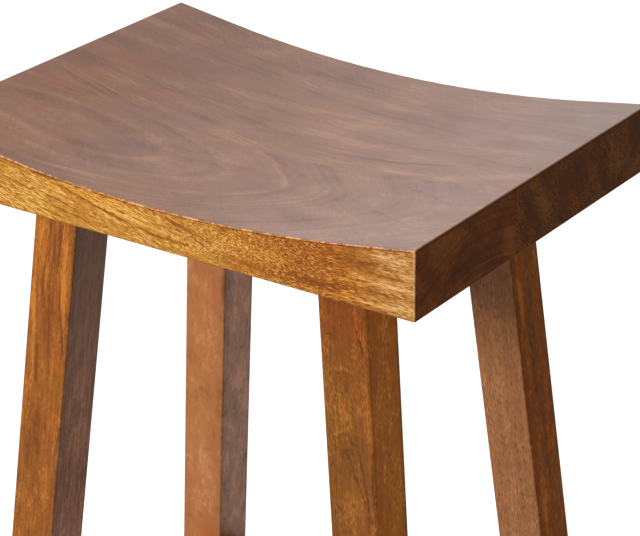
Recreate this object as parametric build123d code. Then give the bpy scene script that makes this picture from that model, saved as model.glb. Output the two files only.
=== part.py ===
from build123d import *
import math
import os

# Bar stool: a saddle seat of four edge-glued boards on four splayed square legs,
# tied together by four rails. Millimetres. The floor is Z 0, the seat runs along X,
# and the front of the stool faces -Y. Left and right are as seen from the front.

# Seat
stool_height = 760.0
seat_length = 440.0
seat_depth = 322.0
seat_end_thickness = 52.0
seat_dip = 21.0             # the middle of the top lies this far under its two ends
dip_corner = 84.0           # from the middle to where an end ramp would meet the dip's level
seat_top_round = 2.0
seat_bottom_round = 1.5
seat_corner_round = 2.0

# Boards of the seat, and the hidden dowels in their joints
board_names = ("seat_board_front", "seat_board_front_middle", "seat_board_rear_middle", "seat_board_rear")
board_joint_shares = (0.40, 0.58, 0.87)         # of the seat's depth, from its front edge
board_dowel_names = ("seat_dowels_front", "seat_dowels_middle", "seat_dowels_rear")
board_dowel_row_shares = (-0.80, -0.27, 0.27, 0.80)     # of half the seat's length
board_dowel_diameter = 8.0
board_dowel_length = 30.0
board_dowel_height = 14.0                       # from the underside to the dowel's middle
dowel_chamfer = 0.8

# Legs
leg_side = 40.0
leg_arris = 1.5
leg_top_x = 126.0           # middle of a leg where it meets the underside of the seat
leg_top_y = 92.0
leg_foot_x = 199.5          # middle of a leg at its foot
leg_foot_y = 140.5
leg_tenon_side = 24.0
leg_tenon_length = 24.0

# Rails
rail_height = 38.0
rail_thickness = 22.0
rail_round = 3.0
foot_rail_middle = 261.0    # height above the floor, front and rear
rail_level_gap = 12.0       # between the foot rails and the lower side rails
rail_tenon_height = 28.0
rail_tenon_thickness = 12.0
rail_tenon_length = 28.0

# Pins that lock the rail tenons, driven in from the inner faces of the legs
pin_diameter = 8.0
pin_length = 32.0

# Glides and their nails
glide_diameter = 24.0
glide_thickness = 5.0
glide_round = 1.2
nail_head_diameter = 7.0
nail_head_thickness = 1.2
nail_sink = 0.7             # the head lies this far above the floor
nail_shank_diameter = 2.2
nail_length = 20.0
nail_point_length = 3.0

# Fits
glue_gap = 0.1              # on every cheek of a tenon and round every dowel, pin and nail
mortise_end_gap = 0.5       # past the end of a tenon, dowel or pin
cut_overrun = 6.0           # how far a cut runs past the face it enters

# Derived levels and slopes
half_length = seat_length / 2
half_depth = seat_depth / 2
seat_underside = stool_height - seat_end_thickness
dip_level = stool_height - seat_dip
ramp_angle = math.atan2(seat_dip, half_length - dip_corner)
ramp_start_x = dip_corner * (1 + math.cos(ramp_angle))
ramp_start_z = dip_level + dip_corner * math.sin(ramp_angle)
leg_rise = seat_underside - glide_thickness
splay_x = (leg_foot_x - leg_top_x) / leg_rise
splay_y = (leg_foot_y - leg_top_y) / leg_rise
side_rail_middle = foot_rail_middle - rail_height - rail_level_gap
sides = {"left": -1, "right": 1}
ends = {"front": -1, "rear": 1}


# Seat


def seat_section():
    left_start = (-ramp_start_x, ramp_start_z)
    right_start = (ramp_start_x, ramp_start_z)
    outline = Polyline(
        left_start,
        (-half_length, stool_height),
        (-half_length, seat_underside),
        (half_length, seat_underside),
        (half_length, stool_height),
        right_start,
    )
    dip = ThreePointArc(left_start, (0, dip_level), right_start)
    return make_face([outline, dip])


# The lines where the ramps meet the dip cross the top along Y, and aren't part of its rim
def seat_block():
    block = extrude(Plane.XZ * seat_section(), amount=half_depth, both=True)
    block = fillet(block.edges().filter_by(Axis.Z), seat_corner_round)
    upright = block.edges().filter_by(Axis.Z)
    bottom_rim = block.edges().group_by(Axis.Z)[0]
    within = half_length - seat_corner_round
    ramp_lines = block.edges().filter_by(Axis.Y).filter_by_position(Axis.X, -within, within)
    block = fillet(block.edges() - upright - bottom_rim - ramp_lines, seat_top_round)
    return fillet(block.edges().group_by(Axis.Z)[0], seat_bottom_round)


def board_joints():
    return [share * seat_depth - half_depth for share in board_joint_shares]


# A dowel, or the hole for one, lies across a joint between two boards
def board_dowels(joint_y, gap, end_gap, chamfer_size):
    radius = board_dowel_diameter / 2 + gap
    blank = Cylinder(radius, board_dowel_length + 2 * end_gap)
    if chamfer_size > 0:
        blank = chamfer(blank.edges(), chamfer_size)
    height = seat_underside + board_dowel_height
    places = [Pos(share * half_length, joint_y, height) for share in board_dowel_row_shares]
    return [place * Rot(90, 0, 0) * blank for place in places]


def seat_boards():
    block = seat_block()
    holes = [hole for y in board_joints() for hole in board_dowels(y, glue_gap, mortise_end_gap, 0)]
    holes += [leg_tenon(side, end, glue_gap) for side in sides.values() for end in ends.values()]
    edges = [-half_depth - cut_overrun, *board_joints(), half_depth + cut_overrun]
    boards = {}
    for name, start, stop in zip(board_names, edges[:-1], edges[1:]):
        slab = Box(seat_length + cut_overrun, stop - start, seat_end_thickness + cut_overrun)
        place = Pos(0, (start + stop) / 2, stool_height - seat_end_thickness / 2)
        boards[name] = (block & (place * slab)) - holes
    return boards


# Legs


# Frame of one leg: its origin at the middle of the foot, its Z up along the leg
def leg_frame(side, end):
    foot = Vector(side * leg_foot_x, end * leg_foot_y, glide_thickness)
    top = Vector(side * leg_top_x, end * leg_top_y, seat_underside)
    return Plane(origin=foot, x_dir=(1, 0, 0), z_dir=top - foot)


def distance_up_leg(height):
    return (height - glide_thickness) * math.sqrt(1 + splay_x**2 + splay_y**2)


# A level slice of the space round all four legs, between two heights
def level_slice(low, high):
    width = 2 * (leg_foot_x + leg_side)
    depth = 2 * (leg_foot_y + leg_side)
    return Pos(0, 0, (low + high) / 2) * Box(width, depth, high - low)


# The sawn square stock of a leg, longer than the leg at both ends
def leg_stock(side, end):
    length = distance_up_leg(seat_underside) + 2 * leg_side
    place = leg_frame(side, end) * Pos(0, 0, length / 2 - leg_side)
    return place * Box(leg_side, leg_side, length)


# The tenon on top of a leg, or with a gap the mortise for it in the seat
def leg_tenon(side, end, gap):
    width = leg_tenon_side + 2 * gap
    root = seat_underside - leg_tenon_side / 2
    tip = seat_underside + leg_tenon_length + (mortise_end_gap if gap > 0 else 0)
    length = distance_up_leg(tip) - distance_up_leg(root) + leg_tenon_side
    place = leg_frame(side, end) * Pos(0, 0, distance_up_leg((root + tip) / 2))
    return (place * Box(width, width, length)) & level_slice(root, tip)


def leg(side, end):
    body = leg_stock(side, end) & level_slice(glide_thickness, seat_underside)
    shoulder = body.edges().group_by(Axis.Z)[-1]
    body = fillet(body.edges() - shoulder, leg_arris)
    body += leg_tenon(side, end, 0)
    body -= [foot_rail_tenon(end, glue_gap), side_rail_tenon(side, glue_gap)]
    body -= [foot_rail_pin_hole(side, end), side_rail_pin_hole(side, end)]
    return body - nail_hole(side, end)


# Rails


def leg_middle_at(height):
    return (
        leg_foot_x - splay_x * (height - glide_thickness),
        leg_foot_y - splay_y * (height - glide_thickness),
    )


# Frame and span of a rail. Its X runs along the rail, and the span is between the middles of two legs.
def foot_rail_place(end):
    span_x, out_y = leg_middle_at(foot_rail_middle)
    origin = (0, end * out_y, foot_rail_middle)
    return Plane(origin=origin, x_dir=(1, 0, 0), z_dir=(0, -end * splay_y, 1)), 2 * span_x


def side_rail_place(side):
    out_x, span_y = leg_middle_at(side_rail_middle)
    origin = (side * out_x, 0, side_rail_middle)
    return Plane(origin=origin, x_dir=(0, 1, 0), z_dir=(-side * splay_x, 0, 1)), 2 * span_y


def rail_tenon(place, span, gap):
    past_middle = rail_tenon_length - leg_side / 2
    end_gap = mortise_end_gap if gap > 0 else 0
    length = span + 2 * (past_middle + end_gap)
    return place * Box(length, rail_tenon_thickness + 2 * gap, rail_tenon_height + 2 * gap)


def foot_rail_tenon(end, gap):
    return rail_tenon(*foot_rail_place(end), gap)


def side_rail_tenon(side, gap):
    return rail_tenon(*side_rail_place(side), gap)


def rail_bar(place, span):
    bar = Box(span, rail_thickness, rail_height)
    return place * fillet(bar.edges().filter_by(Axis.X), rail_round)


def foot_rail(end):
    place, span = foot_rail_place(end)
    bar = rail_bar(place, span) - [leg_stock(side, end) for side in sides.values()]
    bar += rail_tenon(place, span, 0)
    return bar - [foot_rail_pin_hole(side, end) for side in sides.values()]


def side_rail(side):
    place, span = side_rail_place(side)
    bar = rail_bar(place, span) - [leg_stock(side, end) for end in ends.values()]
    bar += rail_tenon(place, span, 0)
    return bar - [side_rail_pin_hole(side, end) for end in ends.values()]


# Pins


# A pin, or the hole for one. Its middle is halfway along the tenon, and one end is flush with the
# inner face of the leg, where a hole overruns.
def pin_blank(gap, mouth, blind):
    length = pin_length + mouth + blind
    return Pos(0, 0, (mouth - blind) / 2) * Cylinder(pin_diameter / 2 + gap, length)


def pin_offsets():
    along_tenon = (leg_side - rail_tenon_length) / 2
    from_inner_face = (leg_side - pin_length) / 2
    return along_tenon, from_inner_face


def place_foot_rail_pin(side, end, blank):
    along_tenon, from_inner_face = pin_offsets()
    up = distance_up_leg(foot_rail_middle)
    place = leg_frame(side, end) * Pos(-side * along_tenon, -end * from_inner_face, up)
    return place * Rot(90 * end, 0, 0) * blank


def place_side_rail_pin(side, end, blank):
    along_tenon, from_inner_face = pin_offsets()
    up = distance_up_leg(side_rail_middle)
    place = leg_frame(side, end) * Pos(-side * from_inner_face, -end * along_tenon, up)
    return place * Rot(0, -90 * side, 0) * blank


def foot_rail_pin(side, end):
    return place_foot_rail_pin(side, end, pin_blank(0, 0, 0))


def foot_rail_pin_hole(side, end):
    return place_foot_rail_pin(side, end, pin_blank(glue_gap, cut_overrun, mortise_end_gap))


def side_rail_pin(side, end):
    return place_side_rail_pin(side, end, pin_blank(0, 0, 0))


def side_rail_pin_hole(side, end):
    return place_side_rail_pin(side, end, pin_blank(glue_gap, cut_overrun, mortise_end_gap))


# Glides and nails


def upright_disc(diameter, low, high):
    return Pos(0, 0, (low + high) / 2) * Cylinder(diameter / 2, high - low)


def foot_middle(side, end):
    return Pos(side * leg_foot_x, end * leg_foot_y, 0)


def glide(side, end):
    disc = upright_disc(glide_diameter, 0, glide_thickness)
    disc = fillet(disc.edges().group_by(Axis.Z)[0], glide_round)
    recess_top = nail_sink + nail_head_thickness
    disc -= upright_disc(nail_head_diameter + 2 * glue_gap, -cut_overrun, recess_top)
    disc -= upright_disc(nail_shank_diameter + 2 * glue_gap, 0, glide_thickness + cut_overrun)
    return foot_middle(side, end) * disc


def glide_nail(side, end):
    head_top = nail_sink + nail_head_thickness
    tip = nail_sink + nail_length
    point_start = tip - nail_point_length
    nail = upright_disc(nail_head_diameter, nail_sink, head_top)
    nail += upright_disc(nail_shank_diameter, nail_sink, point_start)
    point = Cone(nail_shank_diameter / 2, 0, nail_point_length)
    nail += Pos(0, 0, (point_start + tip) / 2) * point
    return foot_middle(side, end) * nail


def nail_hole(side, end):
    diameter = nail_shank_diameter + 2 * glue_gap
    top = nail_sink + nail_length + mortise_end_gap
    return foot_middle(side, end) * upright_disc(diameter, 0, top)


# All the pieces by name


def stool_pieces():
    pieces = seat_boards()
    for name, joint_y in zip(board_dowel_names, board_joints()):
        pieces[name] = Compound(board_dowels(joint_y, 0, 0, dowel_chamfer))
    for end_name, end in ends.items():
        pieces[f"foot_rail_{end_name}"] = foot_rail(end)
        for side_name, side in sides.items():
            corner = f"{end_name}_{side_name}"
            pieces[f"leg_{corner}"] = leg(side, end)
            pieces[f"foot_rail_pin_{corner}"] = foot_rail_pin(side, end)
            pieces[f"side_rail_pin_{corner}"] = side_rail_pin(side, end)
            pieces[f"glide_{corner}"] = glide(side, end)
            pieces[f"glide_nail_{corner}"] = glide_nail(side, end)
    for side_name, side in sides.items():
        pieces[f"side_rail_{side_name}"] = side_rail(side)
    return pieces


os.makedirs("parts", exist_ok=True)
for name, piece in stool_pieces().items():
    export_step(piece, f"parts/{name}.step")
    print(name)
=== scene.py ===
import math

import bpy
from mathutils import Matrix, Vector


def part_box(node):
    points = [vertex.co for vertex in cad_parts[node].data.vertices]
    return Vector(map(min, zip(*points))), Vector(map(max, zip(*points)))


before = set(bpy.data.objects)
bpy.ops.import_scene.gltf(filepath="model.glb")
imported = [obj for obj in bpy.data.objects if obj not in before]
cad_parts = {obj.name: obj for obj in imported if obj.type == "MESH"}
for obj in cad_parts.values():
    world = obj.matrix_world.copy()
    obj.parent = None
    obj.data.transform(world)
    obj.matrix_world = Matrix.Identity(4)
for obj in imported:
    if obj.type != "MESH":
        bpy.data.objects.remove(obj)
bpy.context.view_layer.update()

print("stool: packed model loaded,", len(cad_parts), "pieces")


# Small helpers for shader trees

def plug(tree, socket, value):
    if isinstance(value, bpy.types.NodeSocket):
        tree.links.new(value, socket)
    else:
        socket.default_value = value


def addNode(tree, kind, feeds=None, **settings):
    made = tree.nodes.new(kind)
    for name, value in settings.items():
        setattr(made, name, value)
    for socket, value in (feeds or {}).items():
        plug(tree, made.inputs[socket], value)
    return made


def calc(tree, operation, *values, clamp=False):
    made = addNode(tree, "ShaderNodeMath", operation=operation, use_clamp=clamp)
    for socket, value in zip(made.inputs, values):
        plug(tree, socket, value)
    return made.outputs[0]


def addUp(tree, *values):
    total = values[0]
    for value in values[1:]:
        total = calc(tree, "ADD", total, value)
    return total


def remap(tree, value, low, high, toLow=0.0, toHigh=1.0, ease="SMOOTHSTEP"):
    feeds = {"Value": value, "From Min": low, "From Max": high, "To Min": toLow, "To Max": toHigh}
    return addNode(tree, "ShaderNodeMapRange", feeds, interpolation_type=ease).outputs["Result"]


def centred(tree, value, amount):
    # a 0 to 1 pattern turned into a push of -amount/2 to amount/2
    return calc(tree, "MULTIPLY_ADD", value, amount, -amount / 2)


def dotWith(tree, vector, axis):
    feeds = {0: vector, 1: tuple(axis)}
    return addNode(tree, "ShaderNodeVectorMath", feeds, operation="DOT_PRODUCT").outputs["Value"]


def stretched(tree, vector, scales, shift=(0, 0, 0)):
    feeds = {0: vector, 1: tuple(scales), 2: tuple(shift)}
    return addNode(tree, "ShaderNodeVectorMath", feeds, operation="MULTIPLY_ADD").outputs[0]


def noiseAt(tree, place, waves, seed=(0, 0, 0), detail=2.0, rough=0.5, twist=0.0):
    # noise with so many waves in a millimetre of each of the three ways
    feeds = {
        "Vector": stretched(tree, place, waves, seed),
        "Scale": 1.0,
        "Detail": detail,
        "Roughness": rough,
        "Distortion": twist,
    }
    return addNode(tree, "ShaderNodeTexNoise", feeds).outputs["Fac"]


def noiseAlong(tree, value, detail=2.0):
    feeds = {"W": value, "Scale": 1.0, "Detail": detail, "Roughness": 0.5}
    return addNode(tree, "ShaderNodeTexNoise", feeds, noise_dimensions="1D").outputs["Fac"]


def mixColour(tree, amount, under, over, mode="MIX"):
    made = addNode(tree, "ShaderNodeMix", data_type="RGBA", blend_type=mode, clamp_factor=True)
    for index, value in ((0, amount), (6, under), (7, over)):
        plug(tree, made.inputs[index], value)
    return made.outputs[2]


def colourRamp(tree, value, stops):
    made = addNode(tree, "ShaderNodeValToRGB", {"Fac": value})
    ramp = made.color_ramp
    ramp.interpolation = "EASE"
    while len(ramp.elements) < len(stops):
        ramp.elements.new(0.5)
    for element, (place, colour) in zip(ramp.elements, stops):
        element.position = place
        element.color = (*colour, 1.0)
    return made.outputs["Color"]


def addBump(tree, shader, height, strength, depth):
    bump = addNode(tree, "ShaderNodeBump", {"Height": height, "Strength": strength, "Distance": depth})
    plug(tree, shader.inputs["Normal"], bump.outputs["Normal"])


def rgb(*levels):
    # a colour read off as 0 to 255, in the linear values that the shader wants
    return tuple(((c / 255 + 0.055) / 1.055) ** 2.4 if c > 10 else c / 255 / 12.92 for c in levels)


def newMaterial(name):
    material = bpy.data.materials.new(name)
    material.use_nodes = True
    tree = material.node_tree
    return material, tree, tree.nodes["Principled BSDF"]


def dress(node, material):
    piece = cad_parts[node]
    piece.data.materials.clear()
    piece.data.materials.append(material)


# Wood. Lengths in its dictionaries are millimetres, because grain is thought of that way.
# Along runs with the grain, across and through are the two ways over it.
# A side is one of these and the way a face looks along it: 1, -1, or 0 for both.

along, across, through = 0, 1, 2
millimetresInMetre = 1000.0
contrast = 6.0  # a strength of 0.1 moves the tone by up to 0.3 either way

# how many waves these patterns have in a millimetre along, across and through
patterns = {
    "slow": (0.006, 0.022, 0.022),  # the wander of the grain
    "quick": (0.022, 0.09, 0.09),
    "pores": (0.14, 1.6, 1.6),
    "tints": (0.011, 0.03, 0.03),   # the drift of the hue
    "rubbed": (0.2, 0.2, 0.2),      # where the arrises are worn
    "smudge": (0.02, 0.03, 0.03),   # smudges in the gloss
}

plainGrain = {
    "shift": 0.0,           # another number gives another board out of the same log
    "dark": rgb(92, 52, 24),
    "body": rgb(141, 84, 38),
    "light": rgb(178, 118, 60),
    "slope": 0.03,          # how fast the growth rings drift along the grain
    "centre": -60.0,        # where the ring arches stand, across the grain
    "roundness": 12.0,      # how blunt the arch tips are
    "lopsided": 1.0,        # below the centre the arches close this many times faster
    "depth": 0.6,           # how the rings lean through the piece
    "wander": 6.0,          # how far the grain strays from straight
    "bands": (14.0, 0.12),  # width and strength of the broad rings
    "lines": (3.0, 0.08),   # the same of the narrow rings
    "ringMarks": (),        # rings that stand out: (place, width, tone)
    "ringFade": (0.0, 1.0, 1.0, 1.0),  # how they change across: (from, to, strength before and after)
    "streaks": (9.0, 0.12),    # width and strength, as for the three below
    "clouds": (70.0, 0.12),
    "mottle": (5.0, 0.0),
    "fibres": (1.6, 0.1),
    "flecks": (6.0, 1.3, 0.1),   # length, width and strength
    "ripple": (5.0, 0.0, 80.0),  # width, strength and angle of the curly figure
    "slides": (),           # how the fibres slide aside along the grain: (which way, from, to, how far)
    "calm": None,           # how the fine grain changes along: (from, to, strength before and after)
    "marks": (),
    "wobble": 8.0,          # how far the marks are pushed about along the grain
    "fray": 3.0,            # and over it
    "drift": 0.012,         # how far the hue wanders
    "bloom": (60.0, 0.0, (1.0, 1.0, 1.0)),  # patches of another tint: size, amount and tint
    "figure": 1.0,          # strength of all the broad figure
    "fleck": 1.0,           # strength of the fibres and flecks
    "tone": 0.0,            # how much lighter than its colours
    "arris": 0.1,           # how strongly the arrises are rubbed
    "worn": rgb(206, 158, 116),  # and to what colour
    "rim": None,            # lines along the edges of the seat
    "rough": 0.5,
    "pores": 0.3,
    "faces": (),            # what single faces have of their own
}

lacquer = {
    "ior": 1.5,
    "tint": (1.0, 0.5, 0.15, 1),
    "bump": 0.25,
    "bumpDepth": 0.00012,  # metres
}


def grainSpace(tree, origin, axes):
    coords = addNode(tree, "ShaderNodeTexCoord")
    feeds = {0: coords.outputs["Object"], 1: tuple(origin)}
    moved = addNode(tree, "ShaderNodeVectorMath", feeds, operation="SUBTRACT").outputs[0]
    parts = [dotWith(tree, moved, Vector(axis) * millimetresInMetre) for axis in axes]
    normals = [dotWith(tree, coords.outputs["Normal"], axis) for axis in axes]
    return parts, normals


def joinUp(tree, parts):
    return addNode(tree, "ShaderNodeCombineXYZ", dict(enumerate(parts))).outputs[0]


def turned(tree, parts, first, second, degrees):
    # two of the three lengths, turned in their own plane
    angle = math.radians(degrees)
    result = list(parts)
    one = calc(tree, "MULTIPLY", parts[first], math.cos(angle))
    result[first] = calc(tree, "MULTIPLY_ADD", parts[second], math.sin(angle), one)
    two = calc(tree, "MULTIPLY", parts[first], -math.sin(angle))
    result[second] = calc(tree, "MULTIPLY_ADD", parts[second], math.cos(angle), two)
    return result


def softSpot(tree, value, place, width):
    # 1 at the place, fading over the width
    away = calc(tree, "MULTIPLY_ADD", value, 1.0 / width, -place / width)
    return calc(tree, "EXPONENT", calc(tree, "MULTIPLY", calc(tree, "MULTIPLY", away, away), -1.0))


def faceMask(tree, normals, side):
    # 1 where the surface looks that way, and 0 elsewhere
    axis, sign = side
    normal = normals[axis]
    facing = calc(tree, "MULTIPLY", normal, float(sign)) if sign else calc(tree, "ABSOLUTE", normal)
    return remap(tree, facing, 0.5, 0.85)


def perFace(tree, masks, name, grain):
    # a value of the grain, changed on the faces that have their own
    value = grain[name]
    for mask, face in masks:
        if name in face:
            value = calc(tree, "MULTIPLY_ADD", mask, face[name] - grain[name], value)
    return value


def placedMark(tree, parts, mark):
    # 1 in the middle of a mark and 0 round it. Lean slants and bends it across the grain, dip through it
    at, reach = mark["at"], mark["reach"]
    place = list(parts)
    place[along] = calc(tree, "SUBTRACT", parts[along], at[along])
    for way, name in ((across, "lean"), (through, "dip")):
        slant, bend = mark.get(name, (0, 0))
        if slant or bend:
            slanted = calc(tree, "MULTIPLY_ADD", place[along], bend, slant)
            place[way] = calc(tree, "SUBTRACT", parts[way], calc(tree, "MULTIPLY", place[along], slanted))
    if "bow" in mark:
        aside = calc(tree, "SUBTRACT", place[across], at[across])
        squared = calc(tree, "MULTIPLY", aside, aside)
        place[along] = calc(tree, "MULTIPLY_ADD", squared, -mark["bow"], place[along])
    scales = [1.0 / r for r in reach]
    shift = (0.0, -at[across] / reach[across], -at[through] / reach[through])
    away = stretched(tree, joinUp(tree, place), scales, shift)
    feeds = {0: away, 1: away}
    squared = addNode(tree, "ShaderNodeVectorMath", feeds, operation="DOT_PRODUCT").outputs["Value"]
    return calc(tree, "EXPONENT", calc(tree, "MULTIPLY", squared, -1.0))


def wornArris(tree, parts, normals, grain):
    # eased arrises face two ways at once, and rub light here and there
    sizes = [calc(tree, "ABSOLUTE", n) for n in normals]
    products = [calc(tree, "MULTIPLY", sizes[a], sizes[b]) for a, b in ((0, 1), (1, 2), (0, 2))]
    most = calc(tree, "MAXIMUM", calc(tree, "MAXIMUM", products[0], products[1]), products[2])
    rubbed = noiseAt(tree, joinUp(tree, parts), patterns["rubbed"], detail=3.0, rough=0.6)
    rubbed = remap(tree, rubbed, 0.42, 0.6, 0.0, grain["arris"])
    return calc(tree, "MULTIPLY", remap(tree, most, 0.3, 0.46), rubbed)


def rimHighlightAndShade(tree, parts, normals, rim):
    # light: painted highlight with rubbed wear along the long top arris and down the corners
    # dark: a painted shadow line under the light one, painted shade along the bottom arris, and a dark
    # line along the top of each end
    tilt = normals[through]
    ahead, aside = calc(tree, "ABSOLUTE", normals[across]), calc(tree, "ABSOLUTE", normals[along])
    broken = noiseAt(tree, joinUp(tree, parts), (rim["broken"],) * 3, detail=3.0, rough=0.65)
    upper = calc(tree, "MULTIPLY", remap(tree, ahead, 0.2, 0.4), remap(tree, tilt, 0.5, 0.66))
    light = calc(tree, "MULTIPLY", upper, remap(tree, broken, 0.44, 0.58, 0.05, rim["highlightAndWearAmount"]))
    corner = calc(tree, "MULTIPLY", remap(tree, aside, 0.12, 0.3), remap(tree, ahead, 0.6, 0.8))
    corner = calc(tree, "MULTIPLY", corner, remap(tree, broken, 0.4, 0.6, 0.15, rim["cornerHighlightAmount"]))
    light = calc(tree, "MAXIMUM", light, corner)
    lower = calc(tree, "MULTIPLY", remap(tree, tilt, 0.05, 0.2), remap(tree, tilt, 0.42, 0.58, 1.0, 0.0))
    dark = calc(tree, "MULTIPLY", lower, remap(tree, broken, 0.42, 0.58, rim["shadowLineAmount"], 0.25))
    below = calc(tree, "MULTIPLY", remap(tree, ahead, 0.3, 0.5), remap(tree, tilt, -0.3, -0.1, 1.0, 0.0))
    dark = calc(tree, "MULTIPLY_ADD", below, rim["belowShadeAmount"], dark)
    ends = calc(tree, "MULTIPLY", remap(tree, aside, 0.3, 0.5), remap(tree, tilt, 0.1, 0.3))
    dark = calc(tree, "MAXIMUM", dark, calc(tree, "MULTIPLY", ends, rim["endAmount"]))
    return light, dark


def ringPlace(tree, grain, parts):
    # distance from the heart of the log, bent into arches where the slope is steep
    offset = calc(tree, "SUBTRACT", parts[across], grain["centre"])
    if grain["lopsided"] != 1.0:
        under = calc(tree, "LESS_THAN", offset, 0.0)
        faster = calc(tree, "MULTIPLY_ADD", under, grain["lopsided"] - 1.0, 1.0)
        offset = calc(tree, "MULTIPLY", offset, faster)
    squared = calc(tree, "MULTIPLY_ADD", offset, offset, grain["roundness"] ** 2)
    bow = calc(tree, "SUBTRACT", calc(tree, "SQRT", squared), grain["roundness"])
    place = calc(tree, "MULTIPLY_ADD", parts[along], grain["slope"], bow)
    return calc(tree, "MULTIPLY_ADD", parts[through], grain["depth"], place)


def ringTone(tree, grain, parts, place):
    shift = grain["shift"]
    wide, strength = grain["bands"]
    bands = noiseAlong(tree, calc(tree, "MULTIPLY_ADD", place, 1 / wide, shift))
    tone = centred(tree, bands, strength * contrast)
    wide, strength = grain["lines"]
    lines = noiseAlong(tree, calc(tree, "MULTIPLY_ADD", place, 1 / wide, shift * 3), detail=1.0)
    tone = addUp(tree, tone, centred(tree, lines, strength * contrast))
    if grain["ringMarks"]:
        rings = 0.0
        for spot, width, lighter in grain["ringMarks"]:
            rings = calc(tree, "MULTIPLY_ADD", softSpot(tree, place, spot, width), lighter, rings)
        shown = remap(tree, parts[across], *grain["ringFade"])
        tone = calc(tree, "MULTIPLY_ADD", rings, shown, tone)
    return tone


def figureTone(tree, grain, parts, joined, fibreSpace):
    # streaks, clouds, mottle and ripple. Each is so many waves in its width along, across and through
    shift = grain["shift"]
    wide, strength = grain["streaks"]
    waves = (0.1 / wide, 1 / wide, 1 / wide)
    streaks = noiseAt(tree, fibreSpace, waves, (shift, 5.0, shift), detail=3.0, rough=0.55, twist=0.2)
    tone = centred(tree, streaks, strength * contrast)
    wide, strength = grain["clouds"]
    clouds = noiseAt(tree, joined, (0.5 / wide, 1 / wide, 1 / wide), (9.0, shift, 4.0), twist=0.4)
    tone = addUp(tree, tone, centred(tree, clouds, strength * contrast))
    wide, strength = grain["mottle"]
    if strength:
        waves = (0.5 / wide, 1 / wide, 1 / wide)
        mottle = noiseAt(tree, joined, waves, (7.0, shift, 1.0), detail=3.0, rough=0.6, twist=1.0)
        tone = addUp(tree, tone, centred(tree, mottle, strength * contrast))
    wide, strength, angle = grain["ripple"]
    if strength:
        slanted = joinUp(tree, turned(tree, parts, along, across, angle))
        ripple = noiseAt(tree, slanted, (0.2 / wide, 1 / wide, 0.6 / wide), (1.0, shift, 6.0), twist=0.3)
        tone = addUp(tree, tone, centred(tree, ripple, strength * contrast))
    return tone, clouds


def woodTone(tree, grain, parts, normals, masks):
    shift = grain["shift"]
    joined = joinUp(tree, parts)
    slow = noiseAt(tree, joined, patterns["slow"], (shift, shift * 0.7, 3.1))
    quick = noiseAt(tree, joined, patterns["quick"], (shift * 1.3, 2.0, shift))
    wander = grain["wander"]
    sway = addUp(tree, centred(tree, slow, wander * 4), centred(tree, quick, wander * 0.5))
    bent = list(parts)
    bent[across] = addUp(tree, parts[across], sway)
    bent[through] = calc(tree, "MULTIPLY_ADD", sway, 0.4, parts[through])
    rings = ringTone(tree, grain, parts, ringPlace(tree, grain, bent))
    for way, start, stop, slide in grain["slides"]:
        bent[way] = addUp(tree, bent[way], remap(tree, parts[along], start, stop, 0.0, slide, "LINEAR"))
    fibreSpace = joinUp(tree, bent)
    figure, clouds = figureTone(tree, grain, parts, joined, fibreSpace)

    wide, strength = grain["fibres"]
    fibres = noiseAt(tree, fibreSpace, (0.05 / wide, 1 / wide, 1 / wide), (shift, 1.0, 2.0), rough=0.6)
    fine = centred(tree, fibres, strength * contrast)
    long, wide, strength = grain["flecks"]
    waves = (1 / long, 1 / wide, 1 / wide)
    flecks = noiseAt(tree, fibreSpace, waves, (2.0, shift, 7.0), rough=0.6, twist=0.5)
    fine = addUp(tree, fine, centred(tree, flecks, strength * contrast))
    share = remap(tree, clouds, 0.38, 0.62, 0.6, 1.4)  # stronger in light clouds
    fine = calc(tree, "MULTIPLY", fine, share)
    if grain["calm"]:
        fine = calc(tree, "MULTIPLY", fine, remap(tree, parts[along], *grain["calm"]))
    tone = addUp(tree, perFace(tree, masks, "tone", grain), 0.5)
    broad = addUp(tree, rings, figure)
    tone = calc(tree, "MULTIPLY_ADD", broad, perFace(tree, masks, "figure", grain), tone)
    tone = calc(tree, "MULTIPLY_ADD", fine, perFace(tree, masks, "fleck", grain), tone)

    loose = list(parts)
    loose[along] = addUp(tree, parts[along], centred(tree, quick, grain["wobble"]))
    frayed = centred(tree, fibres, grain["fray"])
    loose[across] = addUp(tree, parts[across], calc(tree, "MULTIPLY", sway, 0.2), frayed)
    # marks with a colour: wood stain, and painted shadow, shade, highlight and sheen
    stainsAndPaintedLight = []
    for mark in grain["marks"]:
        spot = placedMark(tree, loose, mark)
        if mark.get("side"):
            spot = calc(tree, "MULTIPLY", spot, faceMask(tree, normals, mark["side"]))
        if "tone" in mark:
            tone = calc(tree, "MULTIPLY_ADD", spot, mark["tone"], tone)
        if "colour" in mark:
            stainsAndPaintedLight.append((calc(tree, "MULTIPLY", spot, mark["amount"]), mark["colour"]))
    return tone, stainsAndPaintedLight, fibres, flecks, fibreSpace


def stained(tree, tone, shades):
    stops = ((0.08, shades["dark"]), (0.5, shades["body"]), (0.92, shades["light"]))
    return colourRamp(tree, tone, stops)


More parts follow.
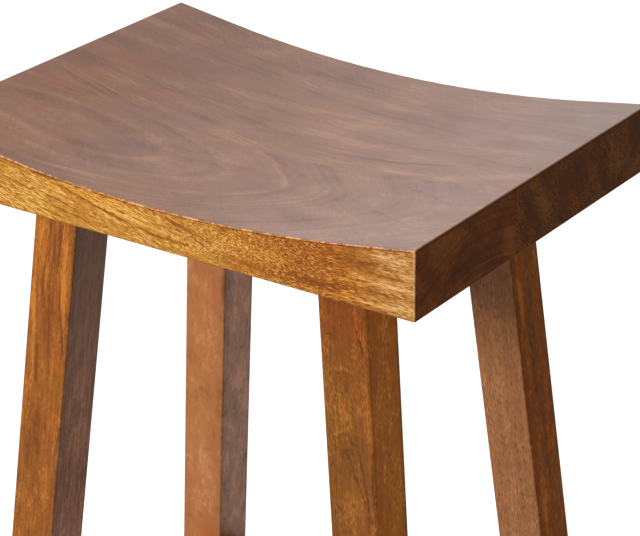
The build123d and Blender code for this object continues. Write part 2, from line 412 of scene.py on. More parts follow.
def woodMaterial(name, origin, axes, grain):
    grain = {**plainGrain, **grain}
    shift, rim = grain["shift"], grain["rim"]
    material, tree, shader = newMaterial(name)
    parts, normals = grainSpace(tree, origin, axes)
    joined = joinUp(tree, parts)
    masks = [(faceMask(tree, normals, face["side"]), face) for face in grain["faces"]]
    tone, stainsAndPaintedLight, fibres, flecks, fibreSpace = woodTone(tree, grain, parts, normals, masks)

    colour = stained(tree, tone, grain)
    for mask, face in masks:
        if "body" in face:
            colour = mixColour(tree, mask, colour, stained(tree, tone, face))
    # the coloured marks multiply the wood: wood stain, and painted shadow, shade, highlight and sheen
    for amount, tint in stainsAndPaintedLight:
        colour = mixColour(tree, amount, colour, (*tint, 1), "MULTIPLY")
    size, amount, tint = grain["bloom"]
    if amount:
        waves = (1 / size, 1.8 / size, 1.8 / size)
        patches = noiseAt(tree, joined, waves, (3.0, 8.0, shift), detail=3.0, rough=0.6, twist=0.8)
        patches = remap(tree, patches, 0.4, 0.62, 0.0, amount)
        colour = mixColour(tree, patches, colour, (*tint, 1), "MULTIPLY")
    pores = noiseAt(tree, fibreSpace, patterns["pores"], (shift, 3.0, 8.0), detail=1.0)
    pores = remap(tree, pores, 0.6, 0.74)
    poreAmount = calc(tree, "MULTIPLY", pores, perFace(tree, masks, "pores", grain))
    poreColour = tuple(c * 0.35 for c in grain["dark"])
    colour = mixColour(tree, poreAmount, colour, (*poreColour, 1))
    tints = noiseAt(tree, joined, patterns["tints"], (5.0, shift, 2.0), rough=0.6, twist=0.6)
    hue = calc(tree, "MULTIPLY_ADD", centred(tree, tints, 4.0), perFace(tree, masks, "drift", grain), 0.5)
    colour = addNode(tree, "ShaderNodeHueSaturation", {"Hue": hue, "Color": colour}).outputs[0]
    if grain["arris"]:
        colour = mixColour(tree, wornArris(tree, parts, normals, grain), colour, (*grain["worn"], 1))
    if rim:
        # painted highlight with rubbed wear, and painted shadow and shade lines, along the seat's edges
        light, dark = rimHighlightAndShade(tree, parts, normals, rim)
        colour = mixColour(tree, dark, colour, (*rim["dark"], 1))
        colour = mixColour(tree, light, colour, (*rim["light"], 1))
    plug(tree, shader.inputs["Base Color"], colour)

    smudge = centred(tree, noiseAt(tree, joined, patterns["smudge"]), 0.12)
    roughness = addUp(tree, smudge, centred(tree, fibres, 0.08), perFace(tree, masks, "rough", grain))
    if rim:
        roughness = calc(tree, "MULTIPLY_ADD", dark, 0.6, roughness, clamp=True)
    plug(tree, shader.inputs["Roughness"], roughness)
    heights = ((fibres, 0.35), (flecks, 0.2), (pores, -0.8))
    height = addUp(tree, *(calc(tree, "MULTIPLY", pattern, share) for pattern, share in heights))
    addBump(tree, shader, height, lacquer["bump"], lacquer["bumpDepth"])
    shader.inputs["IOR"].default_value = lacquer["ior"]
    shader.inputs["Specular Tint"].default_value = lacquer["tint"]
    return material


# Marks that stand at a place of their own, written as rows

def onFace(face, near, over, long, wide, **more):
    # a mark by its place and size on a flat face, whose own axis takes its level and depth
    at, reach = [near, over, over], [long, wide, wide]
    at[face["axis"]] = face["level"]
    reach[face["axis"]] = face["depth"]
    return {"at": at, "reach": reach, "side": face.get("side"), **more}


def streakRows(face, *rows):
    # each row: place along and over the grain, length, width, tone, slant and bend
    way = "dip" if face["axis"] == across else "lean"
    return [
        onFace(face, near, over, long, wide, **{"tone": tone, way: (slant, bend)})
        for near, over, long, wide, tone, slant, bend in rows
    ]


def archRows(face, *rows):
    # each row: place along and over the grain, thickness, width, tone and bow
    return [
        onFace(face, near, over, thick, wide, tone=tone, bow=bow)
        for near, over, thick, wide, tone, bow in rows
    ]


def topRows(*rows, side=None):
    # streaks on the seat's top. Each row: place, length, width, tone, slant and bend
    return [
        {"at": at, "reach": (long, wide, 30), "tone": tone, "lean": (slant, bend), "side": side}
        for at, long, wide, tone, slant, bend in rows
    ]


def stainAndPaintedLightRows(*rows):
    # each row: place, reach, the colour that multiplies the wood's, amount and side. Some rows are painted
    # shadow, shade, highlight or sheen, the others wood stain
    return [
        {"at": at, "reach": reach, "colour": colour, "amount": amount, "side": side}
        for at, reach, colour, amount, side in rows
    ]


# Seat boards: the grain runs along X, and through is measured up from the bottom of the dish

dishBottom = 0.739  # metres
topSide, bottomSide, frontSide = (through, 1), (through, -1), (across, -1)
bothEnds, rightEnd = (along, 0), (along, 1)
frontEdge = {"axis": across, "level": -161, "depth": 30}

seatFaces = (
    {
        "side": bothEnds, "dark": rgb(40, 16, 6), "body": rgb(81, 37, 15), "light": rgb(122, 68, 30),
        "figure": 1.2, "fleck": 2.2, "drift": 0.005, "rough": 1.0,
    },
    {
        "side": frontSide, "dark": rgb(104, 55, 2), "body": rgb(160, 104, 28), "light": rgb(212, 164, 80),
        "figure": 0.6, "fleck": 2.8, "tone": 0.07, "drift": 0.006, "rough": 0.6, "pores": 0.3,
    },
    {"side": bottomSide, "rough": 0.6},
)

seatTop = {
    "dark": rgb(104, 64, 50),
    "body": rgb(140, 92, 70),
    "light": rgb(168, 117, 90),
    "figure": 0.95,
    "fleck": 0.75,
    "wander": 4.0,
    "bands": (17.0, 0.085),
    "lines": (4.5, 0.05),
    "streaks": (7.0, 0.03),
    "clouds": (34.0, 0.2),
    "ripple": (2.2, 0.05, -52.0),
    "fibres": (1.3, 0.17),
    "flecks": (5.0, 1.2, 0.06),
    "drift": 0.012,
    "bloom": (62.0, 0.8, (0.92, 0.95, 1.1)),
    "arris": 0.0,
    # the seat's edge lines: painted highlight with rubbed wear, painted shadow and painted shade
    "rim": {
        "light": rgb(224, 172, 130), "dark": rgb(84, 42, 12),
        "broken": 0.22,  # waves in a millimetre of the breaks in the lines
        "highlightAndWearAmount": 0.7, "shadowLineAmount": 0.85, "belowShadeAmount": 0.35, "endAmount": 0.8, "cornerHighlightAmount": 0.5,
    },
    "rough": 0.33,
    "pores": 0.06,
    "faces": seatFaces,
}

# painted shade makes the left end darker and warmer, painted sheen makes the right end greyer and bluer,
# and the top is greyer along the front
seatStainsShadeAndSheen = stainAndPaintedLightRows(
    # painted shade: the left end darker, and warmer on top
    ((-250, 60, 18), (170, 220, 100), (0.77, 0.72, 0.69), 1.0, None),
    ((-225, 10, 18), (60, 120, 100), (1.07, 0.97, 0.84), 1.0, topSide),
    # painted sheen: the right end greyer, and bluer on top towards the front
    ((230, 120, 18), (120, 120, 100), (0.72, 0.85, 1.08), 1.0, None),
    ((220, -140, 18), (120, 120, 100), (1.0, 1.19, 1.48), 1.0, topSide),
    ((0, -165, 3), (300, 80, 100), (0.97, 1.08, 1.13), 1.0, topSide),
    ((-170, 115, 16), (80, 60, 60), (0.9, 0.86, 0.88), 1.0, topSide),
    ((-165, -30, 14), (26, 12, 60), (1.12, 0.98, 0.72), 0.8, topSide),
    ((-206, -30, 18), (20, 8, 60), (0.82, 0.74, 0.64), 0.9, topSide),
    ((-160, 88, 14), (26, 16, 60), (0.92, 0.9, 1.08), 1.0, topSide),
    ((-175, 128, 14), (22, 14, 60), (1.1, 1.0, 0.82), 0.8, topSide),
)

seatBoards = {
    "seat_board_front": {
        "slope": 0.29, "centre": -85.0, "roundness": 60.0, "lopsided": 1.25, "depth": 2.3, "wander": 2.4,
        "bands": (12.0, 0.09), "lines": (2.6, 0.05), "mottle": (5.0, 0.08),
        "flecks": (5.0, 0.55, 0.15), "fibres": (0.8, 0.07), "calm": (150.0, 185.0, 1.0, 0.62),
        "slides": ((through, -400.0, 140.0, 124.0), (across, 25.0, 150.0, 30.0)),
        "ringMarks": (
            (-19.8, 1.2, 0.12), (-11.3, 1.2, 0.25), (-15.0, 2.2, -0.16), (-4.0, 1.2, 0.1), (2.3, 1.6, 0.1),
            (19.4, 1.2, 0.2), (22.6, 1.6, -0.14), (31.0, 1.4, 0.1), (40.0, 3.0, -0.08), (61.0, 3.0, 0.1),
        ),
        "ringFade": (-126.0, -94.0, 0.3, 1.0),
        "marks": (
            *streakRows(
                frontEdge,
                (-38, -12.5, 46, 0.9, -0.6, -0.2, 0.0005),
                (-28, -11, 26, 1.3, 0.35, -0.15, 0),
                (-97, 2.6, 16, 0.8, -0.45, -0.06, 0),
                (-112, -20.5, 26, 0.8, -0.4, -0.2, 0),
                (-118, -10, 22, 0.6, -0.32, -0.2, 0),
                (-88, -13, 20, 0.6, -0.35, -0.2, 0.001),
                (-70, -22, 24, 0.7, -0.35, -0.15, 0),
                (24, -6.5, 18, 0.7, -0.45, -0.2, 0),
                (30, -9.4, 16, 0.6, -0.35, -0.2, 0),
                (18, -20.6, 18, 0.8, -0.5, -0.03, 0),
                (48, -18, 14, 0.7, -0.35, -0.3, 0),
                (64, -1, 3, 0.9, -0.6, -0.35, 0),
                (118, -25.5, 10, 1.8, -0.22, 0, 0),
                (141, -21.5, 20, 3.2, -0.42, 0, 0),
                (146, -4, 6, 6, -0.2, 0, 0),
                (158, 4, 4, 3, -0.15, 0, 0),
                (160, -13, 22, 0.8, 0.25, -0.05, 0),
                (172, -9, 7, 3, 0.2, 0, 0),
                (175, -26, 34, 0.9, 0.42, 0.02, 0),
                (186, 3, 18, 1.4, -0.22, 0.03, 0),
                (190, -16.5, 28, 1.8, -0.28, 0.02, 0),
                (192, 10, 16, 2.6, 0.25, 0.06, 0),
                (196, -6.2, 18, 0.7, 0.3, 0.01, 0),
                (199, -9.8, 18, 1.5, 0.45, -0.02, 0),
                (204, -3, 14, 0.7, -0.45, 0.05, 0),
                (211, -23, 8, 2, 0.28, 0, 0),
            ),
            *topRows(
                ((-75, -141, 3), 50, 2.0, 0.3, 0.19, 0),
                ((-60, -148, 3), 60, 2.0, 0.25, 0.16, 0),
                ((125, -105, 8), 36, 1.0, 0.15, -0.66, 0),
                ((140, -95, 8), 50, 1.2, -0.2, -0.52, 0),
                ((174, -65, 14), 26, 1.2, -0.35, -0.5, 0),
                side=topSide,
            ),
            {"at": (135, -161, 0), "reach": (62, 24, 60), "side": frontSide, "tone": -0.38},
            {"at": (220, -41, -14), "reach": (6, 9, 16), "side": rightEnd, "tone": 0.4},
            *stainAndPaintedLightRows(
                ((-45, -161, -2.5), (26, 24, 3.0), (1.0, 0.84, 0.45), 0.8, None),
                ((15, -161, -1.5), (42, 24, 2.6), (0.88, 0.72, 0.5), 0.8, None),
                ((135, -161, 0), (62, 24, 60), (0.92, 0.7, 0.62), 0.95, frontSide),
                ((208, -161, 0), (32, 24, 60), (0.9, 0.99, 2.0), 1.0, frontSide),
                ((0, -161, 0), (50, 24, 60), (0.96, 0.9, 1.0), 1.0, None),
                ((-90, -78, 3), (36, 22, 30), (0.86, 0.93, 1.12), 1.0, topSide),
                ((-150, -75, 10), (60, 40, 30), (1.06, 0.93, 0.84), 0.8, topSide),
                ((-150, -132, 12), (40, 20, 30), (1.12, 1.0, 0.82), 0.8, topSide),
            ),
        ),
    },
    "seat_board_front_middle": {
        "shift": 3.3, "slope": 0.12, "centre": -160.0, "depth": 0.8,
        "slides": ((across, -220.0, 20.0, 46.0),),
        "marks": (
            *topRows(
                ((60, -2.5, 2), 26, 1.3, 0.45, -0.02, 0.0002),
                ((100, -3.6, 6), 24, 1.0, 0.3, 0.06, 0.0006),
                ((114, -5, 6), 28, 1.2, -0.85, 0.09, 0.0006),
                ((118, -25, 6), 16, 2.5, 0.35, 0, 0),
                ((158, -26, 10), 7, 5, 0.35, -0.2, 0),
                ((197, -16, 18), 12, 5, 0.3, 0.3, 0),
                ((-180, -18, 18), 40, 2.2, -0.3, -0.2, 0),
                ((-177, 9, 18), 12, 4, 0.2, 0, 0),
                ((-165, -11, 14), 34, 1.4, 0.28, -0.2, 0),
                ((-160, -15, 14), 26, 1.2, -0.35, -0.22, 0),
                ((-145, 24, 12), 18, 1.2, -0.35, -0.2, 0),
                ((-127, 25, 10), 14, 1.3, -0.35, -0.12, 0),
            ),
            *stainAndPaintedLightRows(
                ((-202, 4, 18), (16, 14, 30), (0.82, 0.78, 0.86), 0.9, topSide),
                ((-128, 4, 10), (12, 14, 30), (1.05, 0.9, 0.88), 0.8, topSide),
                ((-185, 0, 14), (34, 16, 30), (1.1, 0.98, 0.78), 0.8, topSide),
                ((220, -3, -6), (6, 30, 30), (0.96, 1.12, 0.9), 1.0, rightEnd),
            ),
        ),
    },
    "seat_board_rear_middle": {
        "shift": 6.1, "slope": 0.12, "centre": -40.0, "depth": 0.7,
        "slides": ((across, -220.0, 20.0, 40.0),),
        "marks": (
            {
                "at": (-204, 63, 18), "reach": (30, 9, 30), "lean": (-0.25, 0),
                "colour": (0.74, 0.74, 0.86), "amount": 0.9,
            },
            {
                "at": (-65, 33, 3), "reach": (34, 12, 30), "lean": (-0.2, 0),
                "colour": (0.9, 0.98, 1.12), "amount": 0.9,
            },
            *topRows(
                ((-105, 42, 5), 60, 8, -0.1, -0.22, 0),
                ((-5, 60, 0), 34, 1.5, 0.28, 0, 0),
                ((-177, 32, 18), 14, 5, 0.2, 0, 0),
            ),
            *stainAndPaintedLightRows(
                ((-172, 38, 12), (20, 10, 30), (1.12, 1.0, 0.76), 0.8, topSide),
                ((0, 55, 3), (70, 14, 30), (1.02, 1.02, 0.88), 0.8, topSide),
                ((115, 105, 6), (60, 32, 40), (0.96, 0.86, 1.0), 0.8, None),
            ),
            {"at": (220, 103, 0), "reach": (6, 1.6, 24), "side": rightEnd, "tone": 0.4},
            {"at": (220, 112, -4), "reach": (6, 1.3, 20), "side": rightEnd, "tone": 0.35},
        ),
    },
    "seat_board_rear": {
        "shift": 9.7, "slope": -0.1, "centre": 300.0, "depth": 1.2, "ripple": (2.2, 0.07, -50.0),
        "marks": topRows(
            ((-175, 141, 12), 14, 1.8, 0.25, 0.1, -0.03),
            ((-117, 134, 8), 14, 1.6, 0.28, 0, 0),
            ((-78, 132, 4), 12, 2.0, 0.25, -1.0, 0),
        ),
    },
}

seatAxes = (Vector((1, 0, 0)), Vector((0, 1, 0)), Vector((0, 0, 1)))
for node, grain in seatBoards.items():
    grain = {**seatTop, **grain, "marks": (*seatStainsShadeAndSheen, *grain["marks"])}
    dress(node, woodMaterial(node + "_wood", (0, 0, dishBottom), seatAxes, grain))
print("seat: four boards dressed")


# Legs: the grain runs down the leg, and along is measured from the seat's underside

# the ends of the right rear leg's middle line, in metres. The other legs mirror it
legSet = {"top": (0.126, 0.092, 0.708), "foot": (0.1995, 0.1405, 0.005)}

legFront, legRight = (through, -1), (across, 1)
frontFace = {"axis": through, "level": -20, "depth": 9}
rightFace = {"axis": across, "level": 20, "depth": 9, "side": legRight}

legGrain = {
    "slope": 0.02, "centre": -34.0, "roundness": 8.0, "depth": 0.7, "wander": 2.0,
    "bands": (9.0, 0.04), "lines": (1.6, 0.03), "streaks": (2.6, 0.05), "clouds": (20.0, 0.09),
    "mottle": (5.0, 0.1), "fibres": (0.8, 0.07), "flecks": (3.2, 0.9, 0.19), "ripple": (2.4, 0.03, 74.0),
    "fray": 2.5, "wobble": 10.0, "rough": 0.62, "pores": 0.2, "drift": 0.006,
}

# on each right face the colour is darker beside the front arris, and a thin line of painted shade runs
# down the rear arris
arrisDarkAndPaintedShade = stainAndPaintedLightRows(
    ((150, 20, -20), (400, 60, 8), (0.72, 0.66, 0.66), 1.0, legRight),
    ((150, 20, 20), (400, 60, 2.6), (0.5, 0.48, 0.52), 0.9, legRight),
)

legs = {
    "leg_front_left": {
        "shift": 1.7, "dark": rgb(92, 42, 6), "body": rgb(124, 67, 17), "light": rgb(164, 100, 34),
        "streaks": (2.6, 0.2), "mottle": (6.0, 0.06),
        "faces": ({
            "side": legRight, "rough": 0.45, "figure": 1.7, "fleck": 1.3,
            "dark": rgb(86, 52, 38), "body": rgb(117, 74, 55), "light": rgb(150, 104, 80),
        },),
        "marks": (
            *streakRows(
                frontFace,
                (36, -4.5, 8, 0.8, -0.5, 0.1, 0),
                (40, -12, 30, 7, 0.36, 0, 0),
                (42, 5.6, 16, 1.2, -0.6, 0.02, 0.001),
                (48, 11, 22, 4, 0.25, 0, 0),
                (50, 1.2, 15, 1.2, -0.6, 0.06, 0.001),
                (63, 5.4, 14, 0.9, -0.5, -0.04, 0),
                (78, -7.6, 20, 1.2, -0.55, 0, 0.0075),
                (82, -4.8, 16, 0.8, 0.35, 0, 0.006),
                (84, 12.6, 22, 3, 0.5, 0.06, 0),
                (90, 9.5, 20, 0.7, -0.5, 0.08, 0),
                (96, -12.5, 26, 0.7, -0.5, 0.06, 0),
                (98, -1, 26, 6, -0.22, 0, 0),
                (104, 0.5, 14, 0.7, -0.45, 0.1, 0),
                (113, 13.2, 20, 1.1, -0.5, 0.15, 0),
                (116, -14, 38, 2.2, 0.5, 0.05, 0),
                (130, 16.4, 4, 0.8, -0.9, 0.1, 0),
                (145, 3.6, 13, 1, -0.4, 0.05, 0),
                (150, -8.4, 20, 1.3, -0.5, 0.03, 0),
                (215, -7, 34, 10, -0.16, 0, 0),
            ),
            {
                "at": (104, 18.4, -20), "reach": (7, 1.8, 9), "lean": (0.06, 0),
                "colour": (0.4, 0.42, 0.5), "amount": 1.0,
            },
            *stainAndPaintedLightRows(
                ((43, 18.4, -20), (18, 2.2, 9), (0.5, 0.42, 0.5), 0.9, None),
                ((262, 0, -20), (60, 30, 9), (0.92, 0.99, 1.1), 1.0, None),
                # painted shadow of the seat over the top of the right face
                ((15, 20, 0), (108, 20, 60), (0.37, 0.27, 0.3), 1.0, legRight),
                ((240, 20, 4), (70, 20, 40), (1.14, 1.16, 1.14), 1.0, legRight),
            ),
        ),
    },
    "leg_front_right": {
        "shift": 4.9, "dark": rgb(62, 29, 6), "body": rgb(102, 56, 14), "light": rgb(144, 88, 32),
        "ripple": (2.2, 0.05, 68.0), "flecks": (3.6, 0.9, 0.2),
        "clouds": (16.0, 0.08), "mottle": (4.2, 0.1),
        "faces": ({
            "side": legRight, "rough": 0.85,
            "dark": rgb(118, 64, 18), "body": rgb(172, 99, 34), "light": rgb(216, 142, 66),
        },),
        "marks": (
            *archRows(
                frontFace,
                (77, -4, 1.8, 10, 0.26, 0.05),
                (79.6, -4, 1.2, 9, -0.22, 0.05),
                (127.5, -4.5, 1.2, 9, -0.28, 0.09),
                (133, -1, 1.3, 8, -0.22, 0.11),
                (139, 0, 1.2, 7, -0.2, 0.12),
            ),
            *streakRows(
                frontFace,
                (60, 15, 11, 1, -0.45, 0.3, 0),
                (96, -3.4, 8, 0.7, -0.4, 0.16, 0),
                (106, 4.4, 7, 0.7, -0.4, 0.1, 0),
                (108, -2, 34, 30, 0.1, 0, 0),
                (115, 17, 60, 2.6, 0.2, 0, 0),
                (143, -3, 12, 10, -0.16, 0, 0),
                (146, 9.2, 14, 1.1, -0.34, 0.16, -0.001),
                (163, 18.5, 14, 1.2, -0.4, 0, 0),
                (164, 6, 16, 1, -0.35, 0.38, 0),
                (172, 13.2, 14, 1.1, -0.4, 0.1, 0),
                (182, 0, 16, 8, 0.22, 0.1, 0),
                (191, 16, 2.2, 2.4, -0.4, 0, 0),
            ),
            {
                "at": (94, 1.0, -20), "reach": (9, 1.5, 9), "lean": (0.04, 0),
                "colour": (0.42, 0.46, 0.42), "amount": 0.8,
            },
            *stainAndPaintedLightRows(
                ((30, 0, -20), (38, 60, 12), (1.1, 0.74, 0.42), 0.9, legFront),
                # painted highlight: a lighter, paler patch by the front face's right arris
                ((28, 18, -20), (18, 6, 9), (1.15, 1.2, 1.7), 0.5, legFront),
                # painted shade: a dark line down the right face's rear arris
                ((250, 20, 20), (400, 40, 5), (0.58, 0.54, 0.54), 1.0, legRight),
            ),
        ),
    },
    "leg_rear_right": {
        "shift": 11.9, "dark": rgb(76, 44, 26), "body": rgb(136, 89, 57), "light": rgb(166, 113, 76),
        "clouds": (9.0, 0.06), "mottle": (5.0, 0.08), "flecks": (5.0, 1.0, 0.22), "streaks": (3.0, 0.04),
        "bands": (9.0, 0.02), "lines": (2.0, 0.0), "fibres": (0.9, 0.06), "pores": 0.1,
        "faces": ({
            "side": legRight, "rough": 0.85, "figure": 1.25, "fleck": 0.7,
            "dark": rgb(56, 22, 6), "body": rgb(116, 58, 15), "light": rgb(180, 98, 28),
        },),
        "marks": (
            *streakRows(
                rightFace,
                (80, 15.5, 24, 2.4, 0.12, 0, 0),
                (100, -11, 46, 3, 0.28, 0, 0),
                (120, 1.5, 60, 2, -0.22, 0, 0),
                (160, -3, 60, 3, -0.32, 0, 0),
                (225, 3, 50, 2.4, -0.2, 0, 0),
                (285, -10, 34, 4, 0.3, 0, 0),
            ),
            {"at": (220, 20, 0), "reach": (80, 20, 40), "side": legRight, "tone": 0.07},
            *streakRows(frontFace, (185, 17, 60, 1.6, 0.12, 0, 0)),
            *stainAndPaintedLightRows(
                ((185, 17, -20), (60, 1.6, 9), (1.1, 0.96, 0.74), 0.6, None),
                ((180, 20, 9.5), (16, 9, 2.6), (1.0, 1.2, 0.8), 0.9, legRight),
                # painted shadow of the seat over the top of the front face
                ((78, 0, -20), (36, 90, 12), (0.63, 0.6, 0.69), 1.0, legFront),
            ),
        ),
    },
    "leg_rear_left": {
        "shift": 7.3, "dark": rgb(118, 66, 35), "body": rgb(154, 96, 55), "light": rgb(184, 126, 82),
        "bands": (12.0, 0.02), "lines": (2.0, 0.0), "streaks": (5.0, 0.02), "flecks": (2.6, 1.1, 0.085),
        "fibres": (0.8, 0.03), "clouds": (18.0, 0.13), "mottle": (9.0, 0.13),
        "faces": ({
            "side": legRight, "rough": 0.45, "figure": 1.7, "fleck": 0.9,
            "dark": rgb(90, 58, 46), "body": rgb(146, 100, 78), "light": rgb(184, 134, 108),
        },),
        "marks": (
            *archRows(frontFace, (262, -2, 2.4, 9, -0.2, 0.1)),
            *streakRows(
                frontFace,
                (150, 18, 26, 2.4, -0.3, 0, 0),
                (305, 11, 14, 1.4, -0.2, 0.14, 0),
                (340, -4, 50, 10, 0.16, 0, 0),
            ),
            *stainAndPaintedLightRows(
                ((340, -4, -20), (50, 10, 9), (1.0, 1.02, 1.1), 1.0, None),
                ((425, 10, -20), (26, 16, 9), (0.95, 0.68, 0.42), 0.8, None),
            ),
        ),
    },
}

for node, grain in legs.items():
    corner = Vector((1 if "right" in node else -1, 1 if "rear" in node else -1, 1))
    top, foot = Vector(legSet["top"]) * corner, Vector(legSet["foot"]) * corner
    down = (foot - top).normalized()
    sideways = (Vector((1, 0, 0)) - down * down.x).normalized()
    rearward = sideways.cross(down)
    grain = {**legGrain, **grain, "marks": (*arrisDarkAndPaintedShade, *grain["marks"])}
    dress(node, woodMaterial(node + "_wood", top, (down, sideways, rearward), grain))
print("legs: four legs dressed")


# Rails, and the dowels and pins that hold the joints

rails = {
    "foot_rail_front": {"shift": 2.2, "centre": 30.0},
    "foot_rail_rear": {"shift": 5.5},
    "side_rail_left": {"shift": 8.8, "slope": 0.06, "centre": 4.0},
    "side_rail_right": {"shift": 12.4},
}

dowelGrain = {
    "dark": rgb(104, 66, 36), "body": rgb(152, 106, 64), "light": rgb(188, 144, 96),
    "slope": 0.01, "centre": -12.0, "roundness": 3.0, "wander": 0.6,
    "bands": (2.2, 0.1), "lines": (0.8, 0.08), "streaks": (1.6, 0.1), "clouds": (9.0, 0.12),
    "fibres": (0.4, 0.14), "flecks": (1.6, 0.35, 0.14), "arris": 0.0, "rough": 0.55, "pores": 0.25,
    "faces": ({
        "side": bothEnds, "dark": rgb(62, 34, 16), "body": rgb(104, 62, 32), "light": rgb(146, 98, 56),
    },),
}
dowelAxes = (Vector((0, 1, 0)), Vector((0, 0, 1)), Vector((1, 0, 0)))


def middleOf(node):
    low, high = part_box(node)
    return (low + high) / 2


def lengthwiseAxes(node):
    # the grain follows the longest side of the piece's box
    low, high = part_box(node)
    sizes = [high[i] - low[i] for i in range(3)]
    longest = sizes.index(max(sizes))
    order = [(longest + turn) % 3 for turn in range(3)]
    return [Vector([1.0 if i == way else 0.0 for i in range(3)]) for way in order]


for node, grain in rails.items():
    dress(node, woodMaterial(node + "_wood", middleOf(node), lengthwiseAxes(node), {**legGrain, **grain}))
print("rails: four rails dressed")

crossDowels = ("seat_dowels_front", "seat_dowels_middle", "seat_dowels_rear")
pins = [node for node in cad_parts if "_pin_" in node]

for number, node in enumerate((*crossDowels, *pins)):
    axes = lengthwiseAxes(node) if node in pins else dowelAxes
    grain = {**dowelGrain, "shift": 1.9 * number}
    dress(node, woodMaterial(node + "_wood", middleOf(node), axes, grain))
print("joints:", len(crossDowels), "sets of dowels and", len(pins), "pins dressed")


# Feet: moulded glides, each with a nail

glideLook = {
    "dark": rgb(46, 36, 30),
    "body": rgb(66, 52, 44),
    "scuffed": rgb(128, 112, 98),
    "scuffHeight": (0.2, 3.6),  # scuffs thin out between these heights in millimetres
    "rough": 0.48,
    "bump": 0.3,
    "bumpDepth": 0.00008,
}

nailLook = {
    "bright": rgb(206, 205, 202),
    "dull": rgb(140, 134, 126),
    "rust": rgb(112, 74, 48),
    "rough": 0.3,
    "bump": 0.2,
    "bumpDepth": 0.00005,
}


def millimetres(tree):
    coords = addNode(tree, "ShaderNodeTexCoord")
    return stretched(tree, coords.outputs["Object"], (millimetresInMetre,) * 3)


def glideMaterial(look):
    material, tree, shader = newMaterial("glide_plastic")
    place = millimetres(tree)
    mottle = noiseAt(tree, place, (0.16, 0.16, 0.3), detail=3.0, rough=0.6)
    scuffs = noiseAt(tree, place, (0.5, 0.9, 2.0), detail=4.0, rough=0.7, twist=1.2)
    scuffs = remap(tree, scuffs, 0.54, 0.68)
    lowest, highest = look["scuffHeight"]
    low = remap(tree, dotWith(tree, place, (0, 0, 1)), lowest, highest, 0.9, 0.15)
    colour = mixColour(tree, remap(tree, mottle, 0.3, 0.7), (*look["dark"], 1), (*look["body"], 1))
    colour = mixColour(tree, calc(tree, "MULTIPLY", scuffs, low), colour, (*look["scuffed"], 1))
    plug(tree, shader.inputs["Base Color"], colour)
    scuffed = calc(tree, "MULTIPLY_ADD", scuffs, 0.2, look["rough"])
    plug(tree, shader.inputs["Roughness"], addUp(tree, centred(tree, mottle, 0.2), scuffed))
    moulded = noiseAt(tree, place, (4.0, 4.0, 4.0), rough=0.6)
    height = calc(tree, "MULTIPLY_ADD", scuffs, -0.6, moulded)
    addBump(tree, shader, height, look["bump"], look["bumpDepth"])
    return material


def nailMaterial(look):
    material, tree, shader = newMaterial("nail_steel")
    place = millimetres(tree)
    brushed = noiseAt(tree, place, (0.4, 7.0, 0.4), rough=0.6, twist=0.2)
    tarnish = noiseAt(tree, place, (0.35, 0.35, 0.35), detail=4.0, rough=0.65, twist=0.6)
    colour = mixColour(tree, remap(tree, brushed, 0.3, 0.7), (*look["dull"], 1), (*look["bright"], 1))
    colour = mixColour(tree, remap(tree, tarnish, 0.55, 0.75, 0.0, 0.6), colour, (*look["rust"], 1))
    plug(tree, shader.inputs["Base Color"], colour)
    shader.inputs["Metallic"].default_value = 1.0
    tarnished = calc(tree, "MULTIPLY_ADD", tarnish, 0.25, look["rough"])
    plug(tree, shader.inputs["Roughness"], addUp(tree, centred(tree, brushed, 0.2), tarnished))
    addBump(tree, shader, brushed, look["bump"], look["bumpDepth"])
    return material


plastic, steel = glideMaterial(glideLook), nailMaterial(nailLook)
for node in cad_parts:
    if node.startswith("glide_nail"):
        dress(node, steel)
    elif node.startswith("glide"):
        dress(node, plastic)
print("feet: glides and nails dressed")


# Floor, light and camera

room = {
    "floorReach": 14.0,
    "floorColour": (0.8, 0.8, 0.795, 1),
    "floorRough": 0.9,
    "floorGloss": 0.1,
    "floorLift": 0.62,  # glow that takes the floor to white, only where it is looked at
    "worldLight": 0.35,
    "key": {"place": (-1.15, -2.75, 2.13), "aim": (0, 0, 0.6), "size": (1.8, 0.72), "power": 118.0},
    "back": {"place": (-1.9, 2.3, 1.25), "aim": (0, 0, 0.7), "size": (1.9, 1.9), "power": 4.6},
}

# degrees for the three angles, metres for aimAt and distance, millimetres for lens and sensor
viewing = {
    "azimuth": 34.969,
    "elevation": 24.478,
    "roll": -0.588,
    "aimAt": (0.006659, 0.035908, 0.619772),
    "distance": 1.941735,
    "lens": 141.215,
    "sensor": 36.0,
}


def seenDirectly(tree):
    # 1 for the camera and for what shows in a gloss or a glass
    path = addNode(tree, "ShaderNodeLightPath")
    seen = calc(tree, "MAXIMUM", path.outputs["Is Camera Ray"], path.outputs["Is Glossy Ray"])
    return calc(tree, "MAXIMUM", seen, path.outputs["Is Transmission Ray"])


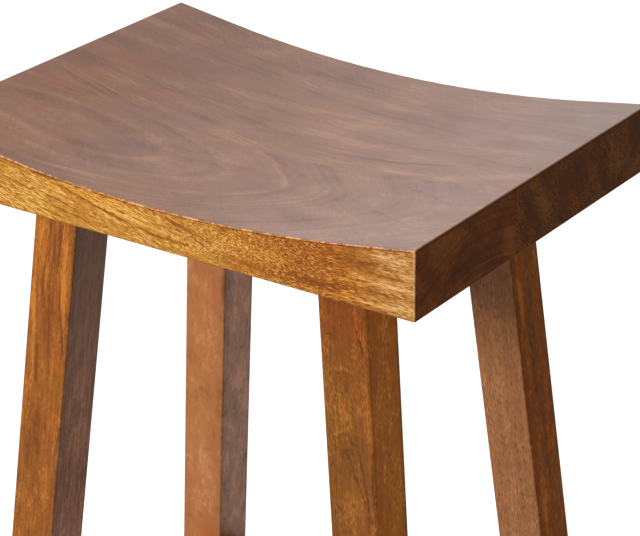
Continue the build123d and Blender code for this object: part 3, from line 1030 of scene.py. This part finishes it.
def makeFloor():
    bpy.ops.mesh.primitive_plane_add(size=room["floorReach"], location=(0, 0, 0))
    floor = bpy.context.object
    floor.name = "floor"
    material, tree, shader = newMaterial("pale_floor")
    shader.inputs["Base Color"].default_value = room["floorColour"]
    shader.inputs["Roughness"].default_value = room["floorRough"]
    shader.inputs["Specular IOR Level"].default_value = room["floorGloss"]
    shader.inputs["Emission Color"].default_value = (1, 1, 1, 1)
    lift = calc(tree, "MULTIPLY", seenDirectly(tree), room["floorLift"])
    plug(tree, shader.inputs["Emission Strength"], lift)
    material.cycles.emission_sampling = "NONE"  # so that a gloss shows the same floor as the camera sees
    floor.data.materials.append(material)


def makeWorld():
    world = bpy.data.worlds.new("studio")
    bpy.context.scene.world = world
    world.use_nodes = True
    tree = world.node_tree
    background = tree.nodes["Background"]
    background.inputs["Color"].default_value = (1, 1, 1, 1)
    strength = remap(tree, seenDirectly(tree), 0.0, 1.0, room["worldLight"], 1.0, "LINEAR")
    plug(tree, background.inputs["Strength"], strength)
    world.cycles.sampling_method = "NONE"


def makeLamp(name, settings):
    data = bpy.data.lights.new(name, "AREA")
    data.energy = settings["power"]
    data.shape = "RECTANGLE"
    data.size, data.size_y = settings["size"]
    lamp = bpy.data.objects.new(name, data)
    bpy.context.scene.collection.objects.link(lamp)
    lamp.location = settings["place"]
    lamp.rotation_mode = "QUATERNION"
    lamp.rotation_quaternion = (Vector(settings["aim"]) - lamp.location).to_track_quat("-Z", "Y")


def makeCamera():
    data = bpy.data.cameras.new("camera")
    data.lens = viewing["lens"]
    data.sensor_width = viewing["sensor"]
    camera = bpy.data.objects.new("camera", data)
    bpy.context.scene.collection.objects.link(camera)
    azimuth, elevation, roll = (math.radians(viewing[k]) for k in ("azimuth", "elevation", "roll"))
    level = Vector((math.cos(azimuth), math.sin(azimuth), 0))
    back = Vector((
        math.sin(azimuth) * math.cos(elevation),
        -math.cos(azimuth) * math.cos(elevation),
        math.sin(elevation),
    ))
    upright = back.cross(level)
    right = level * math.cos(roll) + upright * math.sin(roll)
    up = upright * math.cos(roll) - level * math.sin(roll)
    turn = Matrix((right, up, back)).transposed().to_4x4()
    place = Vector(viewing["aimAt"]) + back * viewing["distance"]
    camera.matrix_world = Matrix.Translation(place) @ turn
    bpy.context.scene.camera = camera


makeFloor()
makeWorld()
makeLamp("key_softbox", room["key"])
makeLamp("back_softbox", room["back"])
makeCamera()
bpy.context.scene.view_settings.view_transform = "Standard"
print("studio: floor, lamps and camera placed")
